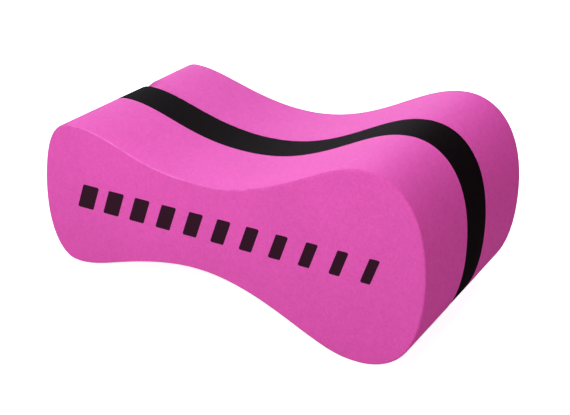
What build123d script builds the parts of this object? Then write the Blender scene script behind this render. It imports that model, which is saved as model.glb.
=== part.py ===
from build123d import *

# Pull buoy: a float of closed-cell EVA foam that a swimmer holds between the thighs.
#
# Three foam layers are cut to one figure-of-eight outline and bonded face to face: a thick front
# block, a thin contrasting centre layer and a thick rear block. A plain ornament is printed on the
# front face. Nothing on the float moves.
#
# Units are millimetres. X runs from the small lobe to the big lobe, Y from the printed front face
# to the plain rear face, and Z up. The origin is under the middle of the float, on the surface that
# it stands on. Both lobes touch that surface, so the outline's own axis climbs towards the big lobe.

import os
from math import atan2, degrees

# Outline, about its own axis. The lower half mirrors the upper half.
LENGTH = 228.0
BIG_CREST_X = 81.0
BIG_CREST_Z = 52.5
WAIST_X = -15.0
WAIST_Z = 24.0
SMALL_CREST_X = -95.0
SMALL_CREST_Z = 40.0

# How far each curve keeps its direction before it bends away: a longer pull is a fuller curve.
BIG_END_PULL = 40.0
BIG_SHOULDER_PULL = 15.5
BIG_FLANK_PULL = 28.5
WAIST_BIG_SIDE_PULL = 47.5
WAIST_SMALL_SIDE_PULL = 37.5
SMALL_FLANK_PULL = 22.5
SMALL_SHOULDER_PULL = 16.5
SMALL_END_PULL = 13.0

# Layers, from front to rear, and the contact adhesive between them.
FRONT_THICKNESS = 50.5
CENTRE_THICKNESS = 24.1
REAR_THICKNESS = 48.0
GLUE_THICKNESS = 0.2
GLUE_INSET = 0.8
DEPTH = FRONT_THICKNESS + CENTRE_THICKNESS + REAR_THICKNESS + 2 * GLUE_THICKNESS

# Edge rounding: the outer rims are eased, and the edges at the seams only just.
RIM_RADIUS = 1.0
SEAM_RADIUS = 0.35

# Printed ornament: a row of slanted bars that grow thinner towards the big lobe.
INK_THICKNESS = 0.1
PRINT_Z = 1.2
BAR_COUNT = 11
BAR_HEIGHT = 14.0
BAR_PITCH = 17.0
FIRST_BAR_X = -BAR_PITCH * (BAR_COUNT - 1) / 2
FIRST_BAR_WIDTH = 10.5
BAR_WIDTH_STEP = 0.5
BAR_SLANT = 5.0
BAR_CORNER_RADIUS = 0.8

# The float stands on both lobes when the line through their crests is level.
REST_TILT = degrees(atan2(BIG_CREST_Z - SMALL_CREST_Z, BIG_CREST_X - SMALL_CREST_X))
STANCE = Rotation(0, -REST_TILT, 0)


def outline(inset=0.0):
    """Face of the figure-of-eight outline at Y = 0, with its axis along X, drawn in by inset.

    Its eight curves stay separate edges, so every wall and rounding of a layer is made of eight simple faces.
    """
    end_x = LENGTH / 2 - inset
    big_z = BIG_CREST_Z - inset
    waist_z = WAIST_Z - inset
    small_z = SMALL_CREST_Z - inset
    upper_curves = [
        Bezier(
            (end_x, 0),
            (end_x, BIG_END_PULL),
            (BIG_CREST_X + BIG_SHOULDER_PULL, big_z),
            (BIG_CREST_X, big_z),
        ),
        Bezier(
            (BIG_CREST_X, big_z),
            (BIG_CREST_X - BIG_FLANK_PULL, big_z),
            (WAIST_X + WAIST_BIG_SIDE_PULL, waist_z),
            (WAIST_X, waist_z),
        ),
        Bezier(
            (WAIST_X, waist_z),
            (WAIST_X - WAIST_SMALL_SIDE_PULL, waist_z),
            (SMALL_CREST_X + SMALL_FLANK_PULL, small_z),
            (SMALL_CREST_X, small_z),
        ),
        Bezier(
            (SMALL_CREST_X, small_z),
            (SMALL_CREST_X - SMALL_SHOULDER_PULL, small_z),
            (-end_x, SMALL_END_PULL),
            (-end_x, 0),
        ),
    ]
    lower_curves = [mirror(curve, about=Plane.XZ).edge() for curve in upper_curves]
    return Plane.XZ * make_face(upper_curves + lower_curves)


def layer(face, front_y, thickness):
    """Solid of a face that lies at Y = 0, from front_y backwards."""
    return Pos(0, front_y, 0) * extrude(face, amount=thickness, dir=(0, 1, 0))


def ease(block, y, radius):
    """The block with the edges of its flat face at y rounded."""
    edges = block.edges().filter_by_position(Axis.Y, y, y)
    return fillet(edges, radius)


def foam_blocks(face):
    """The three bonded layers of foam."""
    front_seam = -DEPTH / 2 + FRONT_THICKNESS
    centre_front = front_seam + GLUE_THICKNESS
    centre_rear = centre_front + CENTRE_THICKNESS
    rear_seam = centre_rear + GLUE_THICKNESS

    front = layer(face, -DEPTH / 2, FRONT_THICKNESS)
    front = ease(front, -DEPTH / 2, RIM_RADIUS)
    front = ease(front, front_seam, SEAM_RADIUS)

    centre = layer(face, centre_front, CENTRE_THICKNESS)
    centre = ease(centre, centre_front, SEAM_RADIUS)
    centre = ease(centre, centre_rear, SEAM_RADIUS)

    rear = layer(face, rear_seam, REAR_THICKNESS)
    rear = ease(rear, rear_seam, SEAM_RADIUS)
    rear = ease(rear, DEPTH / 2, RIM_RADIUS)
    return {"front_foam_block": front, "centre_foam_layer": centre, "rear_foam_block": rear}


def glue_films():
    """Contact adhesive in the two seams, held back from the outline."""
    film_face = outline(inset=GLUE_INSET)
    front_seam = -DEPTH / 2 + FRONT_THICKNESS
    rear_seam = DEPTH / 2 - REAR_THICKNESS - GLUE_THICKNESS
    return {
        "front_glue_film": layer(film_face, front_seam, GLUE_THICKNESS),
        "rear_glue_film": layer(film_face, rear_seam, GLUE_THICKNESS),
    }


def printed_bars():
    """The row of bars, each a thin film of ink standing on the front face."""
    patches = {}
    for index in range(BAR_COUNT):
        half_width = (FIRST_BAR_WIDTH - index * BAR_WIDTH_STEP) / 2
        half_height = BAR_HEIGHT / 2
        half_slant = BAR_SLANT / 2
        with BuildSketch(Plane.XZ) as bar:
            with Locations((FIRST_BAR_X + index * BAR_PITCH, PRINT_Z)):
                Polygon(
                    (-half_width - half_slant, -half_height),
                    (half_width - half_slant, -half_height),
                    (half_width + half_slant, half_height),
                    (-half_width + half_slant, half_height),
                )
            fillet(bar.vertices(), BAR_CORNER_RADIUS)
        patches[f"printed_bar_{index + 1}"] = layer(bar.sketch, -DEPTH / 2 - INK_THICKNESS, INK_THICKNESS)
    return patches


def main():
    face = outline()
    pieces = {**foam_blocks(face), **glue_films(), **printed_bars()}

    standing = (STANCE * face).bounding_box()
    to_origin = Pos(-standing.center().X, 0, -standing.min.Z)

    os.makedirs("parts", exist_ok=True)
    for name, piece in pieces.items():
        export_step(to_origin * STANCE * piece, f"parts/{name}.step")


main()
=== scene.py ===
"""Looks of the pull buoy: three bonded layers of EVA foam with a printed ornament, on a pale studio floor.

Lengths are in metres unless a name ends in _MM. The frame is the CAD model's: X to the big lobe, Y to the
rear face, Z up, and the floor at Z = 0.
"""

from math import atan2, cos, pi, radians, sin

import bpy
from mathutils import Matrix, Vector


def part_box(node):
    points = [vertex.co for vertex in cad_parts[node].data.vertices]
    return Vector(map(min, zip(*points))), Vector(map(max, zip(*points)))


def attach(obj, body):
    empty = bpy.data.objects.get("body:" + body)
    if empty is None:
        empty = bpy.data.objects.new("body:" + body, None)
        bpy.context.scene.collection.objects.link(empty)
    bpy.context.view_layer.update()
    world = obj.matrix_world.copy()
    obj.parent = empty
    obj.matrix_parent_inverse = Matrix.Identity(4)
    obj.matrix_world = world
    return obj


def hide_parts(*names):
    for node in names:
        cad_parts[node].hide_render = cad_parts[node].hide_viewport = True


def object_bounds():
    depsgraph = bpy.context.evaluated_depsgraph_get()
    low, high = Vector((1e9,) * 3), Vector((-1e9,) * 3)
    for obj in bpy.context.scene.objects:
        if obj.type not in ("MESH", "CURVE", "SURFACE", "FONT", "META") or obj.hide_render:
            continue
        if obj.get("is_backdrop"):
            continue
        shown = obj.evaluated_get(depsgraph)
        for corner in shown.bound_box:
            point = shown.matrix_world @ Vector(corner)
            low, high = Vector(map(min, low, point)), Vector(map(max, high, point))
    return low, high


MM = 0.001

# Camera, level with the float's long axis and not with the floor that its two lobes stand on.
CAMERA_POSITION = Vector((0.2852, -0.5206, 0.3417))
CAMERA_AZIMUTH = 28.46
CAMERA_ELEVATION = 27.19
CAMERA_ROLL = 3.90
CAMERA_LENS_MM = 76.1

# Outline of the foam about its own axis, as in the CAD model.
LENGTH_MM = 228.0
BIG_CREST_MM = (81.0, 52.5)
WAIST_MM = (-15.0, 24.0)
SMALL_CREST_MM = (-95.0, 40.0)
BIG_END_PULL_MM = 40.0
BIG_SHOULDER_PULL_MM = 15.5
BIG_FLANK_PULL_MM = 28.5
WAIST_BIG_SIDE_PULL_MM = 47.5
WAIST_SMALL_SIDE_PULL_MM = 37.5
SMALL_FLANK_PULL_MM = 22.5
SMALL_SHOULDER_PULL_MM = 16.5
SMALL_END_PULL_MM = 13.0

# Rounded edges of the foam blocks. A highlight is painted in the middle of each rounding: paleness is how
# much of the highlight colour shows there.
REAR_RIM_RADIUS_MM = 1.0
SEAM_RADIUS_MM = 0.35
PLAIN_EDGE_HIGHLIGHT = 0.5

# The front rim is crisp and has a strong painted highlight up to the first of these places along X. From
# there it grows softer and its painted highlight fainter, up to the second.
CRISP_RIM_X_MM = -40.0
CRISP_RIM_RADIUS_MM = 0.8
CRISP_RIM_HIGHLIGHT = 1.0
SOFT_RIM_X_MM = 35.0
SOFT_RIM_RADIUS_MM = 1.3
SOFT_RIM_HIGHLIGHT = 0.05

# Where the hand-cut foam strays from its outline at the float's front and rear faces: x and z of the middle,
# reach, and how far it stands out. The strays die away towards the middle of the float's depth.
FRONT_STRAYS_MM = (
    (-72, 36, 50, 2.2),
    (-22, 24, 42, 1.2),
    (50, 43, 32, -0.65),
    (-110, -22, 45, 1.1),
    (-38, -26, 35, 0.5),
    (27, -32.5, 62, 1.5),
    (88, -51.5, 25, -1.1),
)
REAR_STRAYS_MM = (
    (100, 42, 80, 1.3),
    (30, 33, 50, 0.6),
    (-85, 39, 50, -0.5),
)
FLOAT_DEPTH_MM = 123.0
STRAY_FADE_MM = 75.0

# A notch in the rear block's front edge, on the small lobe's shoulder: its middle, reach and height as above,
# and how far behind the float's front face it starts, stops being full and ends. It starts in the rear seam.
NOTCH_MM = (-102, 38, 14, -2.5)
NOTCH_START_MM = 74.9
NOTCH_FULL_TO_MM = 80.0
NOTCH_END_MM = 86.0

# Mesh of a foam block: how dense its outline, walls, roundings and flat faces are, and how wide the strip on
# both sides of a rounding is that keeps its shading off the surfaces beside it.
POINTS_PER_CURVE = 44
WALL_STEP_MM = 2.0
ROUND_STEPS = 8
FACE_ROWS = 28
EDGE_MARGIN_MM = 0.3

# Colours, linear. Each foam's pale colour is painted along its roundings as a highlight, and also speckles
# the foam.
PINK = (0.884, 0.103, 0.524)
PINK_HIGHLIGHT_AND_SPECKLE = (1.0, 0.22, 0.70)
BLACK = (0.0056, 0.0041, 0.0047)
BLACK_HIGHLIGHT_AND_SPECKLE = (0.016, 0.011, 0.013)
INK = (0.032, 0.006, 0.018)
ADHESIVE_THIN = (0.018, 0.011, 0.012)
ADHESIVE_THICK = (0.042, 0.024, 0.024)
FLOOR_WHITE = (0.93, 0.93, 0.93)
FLOOR_BOUNCE = (0.45, 0.45, 0.45)
WHITE = (1.0, 1.0, 1.0)
COOL_WHITE = (1.0, 1.0, 1.08)
PINK_BOUNCE = (1.0, 0.6, 0.78)

# Studio. The floor's glow is what makes it pale far from the lamps, and the backdrop looks as pale as that.
FLOOR_HALF_SIZE = 6.0
FLOOR_GLOW = 0.9
BACKDROP_SEEN = 0.93
BACKDROP_LIGHT = 0.03


# ---------------------------------------------------------------- camera


def add_camera():
    """The scene's camera. Azimuth 0 looks along Y and 90 along -X; a raised camera looks down."""
    azimuth = radians(CAMERA_AZIMUTH)
    elevation = radians(CAMERA_ELEVATION)
    roll = radians(CAMERA_ROLL)
    level = cos(elevation)
    forward = Vector((-sin(azimuth) * level, cos(azimuth) * level, -sin(elevation)))
    level_right = Vector((cos(azimuth), sin(azimuth), 0))
    level_up = level_right.cross(forward)
    right = cos(roll) * level_right + sin(roll) * level_up
    up = right.cross(forward)

    camera = bpy.data.objects.new("camera", bpy.data.cameras.new("camera"))
    camera.data.sensor_width = 36.0
    camera.data.lens = CAMERA_LENS_MM
    camera.data.clip_start = 0.01
    turn = Matrix((right, up, -forward)).transposed().to_4x4()
    camera.matrix_world = Matrix.Translation(CAMERA_POSITION) @ turn
    bpy.context.scene.collection.objects.link(camera)
    bpy.context.scene.camera = camera


# ---------------------------------------------------------------- foam meshes


def bezier_points(start, start_pull, end_pull, end):
    """Points along a cubic Bezier curve, without its last point."""
    points = []
    for index in range(POINTS_PER_CURVE):
        t = index / POINTS_PER_CURVE
        u = 1 - t
        weights = (u**3, 3 * u * u * t, 3 * u * t * t, t**3)
        corners = (start, start_pull, end_pull, end)
        x = sum(w * c[0] for w, c in zip(weights, corners))
        z = sum(w * c[1] for w, c in zip(weights, corners))
        points.append(Vector((x, z)))
    return points


def outline_points():
    """The outline, from the big end over the top to the small end and back underneath."""
    half = LENGTH_MM / 2
    big_x, big_z = BIG_CREST_MM
    waist_x, waist_z = WAIST_MM
    small_x, small_z = SMALL_CREST_MM
    big_shoulder = (big_x + BIG_SHOULDER_PULL_MM, big_z)
    big_flank = (big_x - BIG_FLANK_PULL_MM, big_z)
    waist_big_side = (waist_x + WAIST_BIG_SIDE_PULL_MM, waist_z)
    waist_small_side = (waist_x - WAIST_SMALL_SIDE_PULL_MM, waist_z)
    small_flank = (small_x + SMALL_FLANK_PULL_MM, small_z)
    small_shoulder = (small_x - SMALL_SHOULDER_PULL_MM, small_z)

    upper = bezier_points((half, 0), (half, BIG_END_PULL_MM), big_shoulder, BIG_CREST_MM)
    upper += bezier_points(BIG_CREST_MM, big_flank, waist_big_side, WAIST_MM)
    upper += bezier_points(WAIST_MM, waist_small_side, small_flank, SMALL_CREST_MM)
    upper += bezier_points(SMALL_CREST_MM, small_shoulder, (-half, SMALL_END_PULL_MM), (-half, 0))
    lower = [Vector((point.x, -point.y)) for point in reversed(upper[1:])]
    return upper + [Vector((-half, 0))] + lower


def swell(point, x, z, reach, height):
    """Height at a point of a smooth swelling that peaks at x, z and is gone at its reach."""
    away = min((point - Vector((x, z))).length / reach, 1.0)
    return height * (1 + cos(pi * away)) / 2


def stray(point, y):
    """How far the foam stands out from the outline at a point of it, y behind the float's front face."""
    front_share = max(0.0, 1 - y / STRAY_FADE_MM)
    rear_share = max(0.0, 1 - (FLOAT_DEPTH_MM - y) / STRAY_FADE_MM)
    total = front_share * sum(swell(point, *place) for place in FRONT_STRAYS_MM)
    total += rear_share * sum(swell(point, *place) for place in REAR_STRAYS_MM)
    if NOTCH_START_MM < y < NOTCH_END_MM:
        notch_share = min(1.0, (NOTCH_END_MM - y) / (NOTCH_END_MM - NOTCH_FULL_TO_MM))
        total += notch_share * swell(point, *NOTCH_MM)
    return total


def inward_normals(points):
    """The inward normal of a closed outline at each of its points."""
    normals = []
    for index in range(len(points)):
        along = points[(index + 1) % len(points)] - points[index - 1]
        along.normalize()
        normals.append(Vector((-along.y, along.x)))
    return normals


def front_rim(x):
    """Radius and painted highlight strength of the float's front rim at x."""
    share = (x - CRISP_RIM_X_MM) / (SOFT_RIM_X_MM - CRISP_RIM_X_MM)
    share = min(max(share, 0.0), 1.0)
    radius = CRISP_RIM_RADIUS_MM + share * (SOFT_RIM_RADIUS_MM - CRISP_RIM_RADIUS_MM)
    paleness = CRISP_RIM_HIGHLIGHT + share * (SOFT_RIM_HIGHLIGHT - CRISP_RIM_HIGHLIGHT)
    return radius, paleness


def rounding(radius, paleness):
    """(inset, distance behind the face, painted highlight) of each ring of a rounding, from the face to the
    wall.

    The painted highlight, for the mesh attribute that holds it, is highest in the middle of the rounding.
    """
    places = [(radius + EDGE_MARGIN_MM, 0.0, 0.0)]
    for step in range(ROUND_STEPS + 1):
        angle = step / ROUND_STEPS * pi / 2
        places.append((radius * (1 - sin(angle)), radius * (1 - cos(angle)), paleness * sin(2 * angle)))
    places.append((0.0, radius + EDGE_MARGIN_MM, 0.0))
    return places


def wall_lines(depth, is_front, is_rear):
    """For each point of the outline, (inset, distance behind the front, painted highlight) of each ring of a
    block.
    """
    lines = []
    rear_radius = REAR_RIM_RADIUS_MM if is_rear else SEAM_RADIUS_MM
    rear_rounding = rounding(rear_radius, PLAIN_EDGE_HIGHLIGHT)
    rear = [(inset, depth - behind, edge) for inset, behind, edge in reversed(rear_rounding)]
    wall_rows = round(depth / WALL_STEP_MM)
    for point in outline_points():
        radius, paleness = front_rim(point.x) if is_front else (SEAM_RADIUS_MM, PLAIN_EDGE_HIGHLIGHT)
        front = rounding(radius, paleness)
        start = front[-1][1]
        step = (rear[0][1] - start) / wall_rows
        wall = [(0.0, start + row * step, 0.0) for row in range(1, wall_rows)]
        lines.append(front + wall + rear)
    return lines


def close_face(vertices, faces, ring, y, faces_rear):
    """Fills a flat face with columns that run from the ring's upper half to its lower half."""
    count = len(ring)
    columns = [[ring[0]]]
    for index in range(1, count // 2):
        top = vertices[ring[index]]
        bottom = vertices[ring[count - index]]
        column = [ring[index]]
        for row in range(1, FACE_ROWS):
            x, _, z = top.lerp(bottom, row / FACE_ROWS)
            column.append(len(vertices))
            vertices.append(Vector((x, y, z)))
        column.append(ring[count - index])
        columns.append(column)
    columns.append([ring[count // 2]])

    for left, right in zip(columns, columns[1:]):
        for row in range(FACE_ROWS):
            corners = [left[min(row, len(left) - 1)], right[min(row, len(right) - 1)]]
            corners += [right[min(row + 1, len(right) - 1)], left[min(row + 1, len(left) - 1)]]
            corners = list(dict.fromkeys(corners))
            faces.append(corners[::-1] if faces_rear else corners)


def block_mesh(name, start, depth, is_front, is_rear):
    """A foam block in millimetres, with the float's front face at Y = 0 and the outline's own axis along X.

    start is how far the block's front face is behind the float's. A mesh attribute holds the highlight
    painted along the roundings.
    """
    outline = outline_points()
    inwards = inward_normals(outline)
    lines = wall_lines(depth, is_front, is_rear)
    vertices = []
    faces = []
    rings = []
    painted_highlights = []
    for places in zip(*lines):
        ring = []
        for point, normal, (inset, behind, edge) in zip(outline, inwards, places):
            y = start + behind
            moved = point + (inset - stray(point, y)) * normal
            ring.append(len(vertices))
            vertices.append(Vector((moved.x, y, moved.y)))
            painted_highlights.append(edge)
        rings.append(ring)

    count = len(outline)
    for front, rear in zip(rings, rings[1:]):
        for index in range(count):
            after = (index + 1) % count
            faces.append([front[index], rear[index], rear[after], front[after]])
    close_face(vertices, faces, rings[0], start, faces_rear=False)
    close_face(vertices, faces, rings[-1], start + depth, faces_rear=True)
    painted_highlights += [0.0] * (len(vertices) - len(painted_highlights))

    mesh = bpy.data.meshes.new(name)
    mesh.from_pydata(vertices, [], faces)
    mesh.polygons.foreach_set("use_smooth", [True] * len(mesh.polygons))
    mesh.attributes.new("edge", "FLOAT", "POINT").data.foreach_set("value", painted_highlights)
    mesh.update()
    return mesh


def stand(mesh):
    """Tilts a block onto both lobes and moves it from the float's own frame in millimetres to the model's."""
    tilt = atan2(BIG_CREST_MM[1] - SMALL_CREST_MM[1], BIG_CREST_MM[0] - SMALL_CREST_MM[0])
    turn = Matrix.Rotation(-tilt, 4, "Y")
    outline = [turn @ Vector((point.x, 0, point.y)) for point in outline_points()]
    across = [point.x for point in outline]
    lowest = min(point.z for point in outline)
    low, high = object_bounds()
    origin = Vector(((low.x + high.x) / 2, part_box("front_foam_block")[0].y, low.z))
    shift = Vector(((min(across) + max(across)) / 2, 0, lowest))
    mesh.transform(Matrix.Translation(origin) @ Matrix.Scale(MM, 4) @ Matrix.Translation(-shift) @ turn)


def add_foam_block(name, node, material):
    """The visible block that stands for a CAD block, in that block's place and nowhere under the floor."""
    low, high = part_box(node)
    start = (low.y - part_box("front_foam_block")[0].y) / MM
    depth = (high.y - low.y) / MM
    is_front = node == "front_foam_block"
    is_rear = node == "rear_foam_block"
    mesh = block_mesh(name, start, depth, is_front, is_rear)
    stand(mesh)
    for vertex in mesh.vertices:
        vertex.co.z = max(vertex.co.z, 0.0)

    block = bpy.data.objects.new(name, mesh)
    bpy.context.scene.collection.objects.link(block)
    mesh.materials.append(material)
    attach(block, "root")
    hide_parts(node)


# ---------------------------------------------------------------- materials


class Nodes:
    """A short way to build a material's node tree."""

    def __init__(self, name):
        self.material = bpy.data.materials.new(name)
        self.material.use_nodes = True
        self.tree = self.material.node_tree
        self.shader = self.tree.nodes["Principled BSDF"]

    def add(self, kind, **settings):
        """A new node with those settings."""
        node = self.tree.nodes.new(kind)
        for key, value in settings.items():
            setattr(node, key, value)
        return node

    def join(self, output, target):
        """Links a node's output to another's input."""
        self.tree.links.new(output, target)

    def position(self):
        """A point's place in the object's own coordinates, in metres."""
        return self.add("ShaderNodeTexCoord").outputs["Object"]

    def noise(self, size_mm, detail, roughness=0.5):
        """Cloudy noise from 0 to 1 with features of about that size."""
        texture = self.add("ShaderNodeTexNoise")
        texture.inputs["Scale"].default_value = 1 / (size_mm * MM)
        texture.inputs["Detail"].default_value = detail
        texture.inputs["Roughness"].default_value = roughness
        self.join(self.position(), texture.inputs["Vector"])
        return texture.outputs["Fac"]

    def cells(self, size_mm):
        """Distance from the middle of the nearest foam cell, from 0 to about 1."""
        texture = self.add("ShaderNodeTexVoronoi", feature="F1")
        texture.inputs["Scale"].default_value = 1 / (size_mm * MM)
        self.join(self.position(), texture.inputs["Vector"])
        return texture.outputs["Distance"]

    def ramp(self, value, low, high, from_low=0.0, from_high=1.0):
        """value's range from_low..from_high, clamped and moved to low..high."""
        node = self.add("ShaderNodeMapRange")
        node.inputs["From Min"].default_value = from_low
        node.inputs["From Max"].default_value = from_high
        node.inputs["To Min"].default_value = low
        node.inputs["To Max"].default_value = high
        self.join(value, node.inputs["Value"])
        return node.outputs["Result"]

    def sum(self, *values):
        """The sum of two or more values."""
        total = values[0]
        for value in values[1:]:
            node = self.add("ShaderNodeMath", operation="ADD")
            self.join(total, node.inputs[0])
            self.join(value, node.inputs[1])
            total = node.outputs[0]
        return total

    def edge(self):
        """The highlight painted along the mesh's roundings, a little uneven."""
        mark = self.add("ShaderNodeAttribute", attribute_name="edge").outputs["Fac"]
        patches = self.noise(size_mm=9.0, detail=2.0)
        unevenness = self.ramp(patches, -0.35, 0.0, from_low=0.3, from_high=0.6)
        return self.ramp(self.sum(mark, unevenness), 0.0, 1.0)

    def blended(self, colour, other, factor):
        """colour where factor is 0 and other where it is 1."""
        node = self.add("ShaderNodeMix", data_type="RGBA")
        node.inputs["A"].default_value = (*colour, 1.0)
        node.inputs["B"].default_value = (*other, 1.0)
        self.join(factor, node.inputs["Factor"])
        return node.outputs["Result"]

    def brightened(self, colour, factor):
        """A colour output multiplied by a grey factor."""
        node = self.add("ShaderNodeVectorMath", operation="SCALE")
        self.join(colour, node.inputs[0])
        self.join(factor, node.inputs["Scale"])
        return node.outputs["Vector"]

    def bump(self, height, distance_mm, strength=1.0):
        """Fine relief: heights from 0 to 1 stand for that distance."""
        node = self.add("ShaderNodeBump")
        node.inputs["Distance"].default_value = distance_mm * MM
        node.inputs["Strength"].default_value = strength
        self.join(height, node.inputs["Height"])
        self.join(node.outputs["Normal"], self.shader.inputs["Normal"])


def foam_material(name, colour, highlight_and_speckle_colour, refraction, gloss):
    """Matte closed-cell EVA: fine cells, mottling, pale speckles of cut cells and a highlight painted along
    the roundings.
    """
    nodes = Nodes(name)
    cells = nodes.cells(size_mm=0.55)
    grain = nodes.noise(size_mm=0.35, detail=1.0)
    mottle = nodes.noise(size_mm=3.5, detail=3.0, roughness=0.6)
    cloud = nodes.noise(size_mm=38.0, detail=1.0)
    speckle = nodes.noise(size_mm=1.4, detail=2.0, roughness=0.6)

    brightness = nodes.sum(
        nodes.ramp(cells, 0.97, 1.0, from_low=0.15, from_high=0.6),
        nodes.ramp(mottle, -0.03, 0.03, from_low=0.3, from_high=0.7),
        nodes.ramp(cloud, -0.02, 0.02, from_low=0.3, from_high=0.7),
    )
    # paleness mixes the painted highlight along the roundings with pale speckles of cut cells.
    paleness = nodes.sum(nodes.edge(), nodes.ramp(speckle, 0.0, 0.34, from_low=0.3, from_high=0.7))
    foam = nodes.blended(colour, highlight_and_speckle_colour, paleness)
    nodes.join(nodes.brightened(foam, brightness), nodes.shader.inputs["Base Color"])
    nodes.join(nodes.ramp(grain, 0.62, 0.78), nodes.shader.inputs["Roughness"])
    height = nodes.sum(nodes.ramp(cells, 0.0, 0.7, from_high=0.8), nodes.ramp(grain, 0.0, 0.3))
    nodes.bump(height, distance_mm=0.06, strength=0.6)
    nodes.shader.inputs["IOR"].default_value = refraction
    nodes.shader.inputs["Specular IOR Level"].default_value = gloss
    return nodes.material


def ink_material():
    """Screen-printing ink that has soaked into the foam, with a few pinholes where it missed a cell."""
    nodes = Nodes("print_ink")
    grain = nodes.noise(size_mm=0.4, detail=2.0)
    pinholes = nodes.ramp(nodes.cells(size_mm=0.9), 1.0, 0.0, from_high=0.07)
    ink = nodes.blended(INK, PINK, pinholes)
    nodes.join(nodes.brightened(ink, nodes.ramp(grain, 0.8, 1.25)), nodes.shader.inputs["Base Color"])
    nodes.join(nodes.ramp(grain, 0.55, 0.7), nodes.shader.inputs["Roughness"])
    nodes.bump(grain, distance_mm=0.03, strength=0.5)
    nodes.shader.inputs["Specular IOR Level"].default_value = 0.1
    return nodes.material


def adhesive_material():
    """Dried clear contact adhesive, dark from the black foam under it, and seen only down the seams."""
    nodes = Nodes("contact_adhesive")
    patches = nodes.noise(size_mm=1.5, detail=3.0)
    nodes.join(nodes.blended(ADHESIVE_THIN, ADHESIVE_THICK, patches), nodes.shader.inputs["Base Color"])
    nodes.join(nodes.ramp(patches, 0.35, 0.6), nodes.shader.inputs["Roughness"])
    nodes.bump(patches, distance_mm=0.1)
    return nodes.material


def give_material(node, material):
    """Dresses a CAD node in a material."""
    node.data.materials.clear()
    node.data.materials.append(material)


# ---------------------------------------------------------------- studio


def add_floor():
    """A pale floor. The camera sees it nearly white, but it throws light back only as a grey table would."""
    size = FLOOR_HALF_SIZE
    mesh = bpy.data.meshes.new("floor")
    corners = [(-size, -size, 0), (size, -size, 0), (size, size, 0), (-size, size, 0)]
    mesh.from_pydata(corners, [], [(0, 1, 2, 3)])
    floor = bpy.data.objects.new("floor", mesh)
    bpy.context.scene.collection.objects.link(floor)
    floor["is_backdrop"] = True

    nodes = Nodes("floor")
    seen = nodes.shader
    seen.inputs["Base Color"].default_value = (*FLOOR_WHITE, 1)
    seen.inputs["Roughness"].default_value = 0.9
    seen.inputs["Specular IOR Level"].default_value = 0.0
    seen.inputs["Emission Color"].default_value = (*WHITE, 1)
    seen.inputs["Emission Strength"].default_value = FLOOR_GLOW
    bounce = nodes.add("ShaderNodeBsdfDiffuse")
    bounce.inputs["Color"].default_value = (*FLOOR_BOUNCE, 1)
    mix = nodes.add("ShaderNodeMixShader")
    nodes.join(nodes.add("ShaderNodeLightPath").outputs["Is Camera Ray"], mix.inputs["Fac"])
    nodes.join(bounce.outputs["BSDF"], mix.inputs[1])
    nodes.join(seen.outputs["BSDF"], mix.inputs[2])
    nodes.join(mix.outputs["Shader"], nodes.tree.nodes["Material Output"].inputs["Surface"])
    mesh.materials.append(nodes.material)


def add_softbox(name, position, size, strength, colour=WHITE):
    """A square lamp at position, aimed at the middle of the float. Strength is in watts."""
    lamp = bpy.data.lights.new(name, "AREA")
    lamp.size = size
    lamp.energy = strength
    lamp.color = colour
    box = bpy.data.objects.new(name, lamp)
    low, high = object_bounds()
    aim = (low + high) / 2 - Vector(position)
    box.matrix_world = Matrix.Translation(position) @ aim.to_track_quat("-Z", "Y").to_matrix().to_4x4()
    bpy.context.scene.collection.objects.link(box)


def add_lights():
    """Two soft lamps in front, a weak pink one as off a coloured wall, and two broad cool ones behind."""
    add_softbox("front", position=(-0.06, -0.46, 0.44), size=0.3, strength=1.72)
    add_softbox("low_front", position=(-0.3, -0.9, 0.25), size=0.5, strength=1.95)
    add_softbox("right_bounce", position=(1.0, -0.3, 0.3), size=0.6, strength=2.75, colour=PINK_BOUNCE)
    add_softbox("back_left", position=(-0.8, 1.2, 0.5), size=0.9, strength=14, colour=COOL_WHITE)
    add_softbox("top_back", position=(0.0, 0.8, 1.2), size=0.8, strength=9.0, colour=COOL_WHITE)


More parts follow.
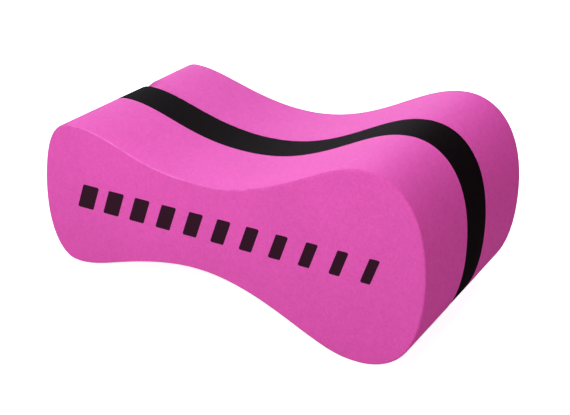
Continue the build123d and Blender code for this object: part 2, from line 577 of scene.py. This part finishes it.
def add_backdrop():
    """A pale backdrop all round. The camera sees it, but it lights the float only faintly."""
    world = bpy.data.worlds.new("studio")
    world.use_nodes = True
    tree = world.node_tree
    seen = tree.nodes["Background"]
    glow = tree.nodes.new("ShaderNodeBackground")
    for background, strength in ((seen, BACKDROP_SEEN), (glow, BACKDROP_LIGHT)):
        background.inputs["Color"].default_value = (*WHITE, 1)
        background.inputs["Strength"].default_value = strength
    mix = tree.nodes.new("ShaderNodeMixShader")
    tree.links.new(tree.nodes.new("ShaderNodeLightPath").outputs["Is Camera Ray"], mix.inputs["Fac"])
    tree.links.new(glow.outputs["Background"], mix.inputs[1])
    tree.links.new(seen.outputs["Background"], mix.inputs[2])
    tree.links.new(mix.outputs["Shader"], tree.nodes["World Output"].inputs["Surface"])
    bpy.context.scene.world = world


# ---------------------------------------------------------------- assembly

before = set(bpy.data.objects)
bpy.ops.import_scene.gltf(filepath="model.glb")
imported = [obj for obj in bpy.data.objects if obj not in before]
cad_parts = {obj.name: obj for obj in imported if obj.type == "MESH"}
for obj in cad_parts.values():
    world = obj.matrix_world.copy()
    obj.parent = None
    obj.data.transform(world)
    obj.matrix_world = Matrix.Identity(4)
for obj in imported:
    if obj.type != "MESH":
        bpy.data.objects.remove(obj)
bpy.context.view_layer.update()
bpy.context.scene.view_settings.view_transform = "Standard"
add_camera()

pink_foam = foam_material("pink_foam", PINK, PINK_HIGHLIGHT_AND_SPECKLE, refraction=1.25, gloss=0.2)
black_foam = foam_material("black_foam", BLACK, BLACK_HIGHLIGHT_AND_SPECKLE, refraction=1.1, gloss=0.12)
add_foam_block("front_foam", "front_foam_block", pink_foam)
add_foam_block("centre_foam", "centre_foam_layer", black_foam)
add_foam_block("rear_foam", "rear_foam_block", pink_foam)

print_ink = ink_material()
contact_adhesive = adhesive_material()
for node_name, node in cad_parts.items():
    if node_name.startswith("printed_"):
        give_material(node, print_ink)
    if node_name.endswith("_glue_film"):
        give_material(node, contact_adhesive)

add_floor()
add_lights()
add_backdrop()
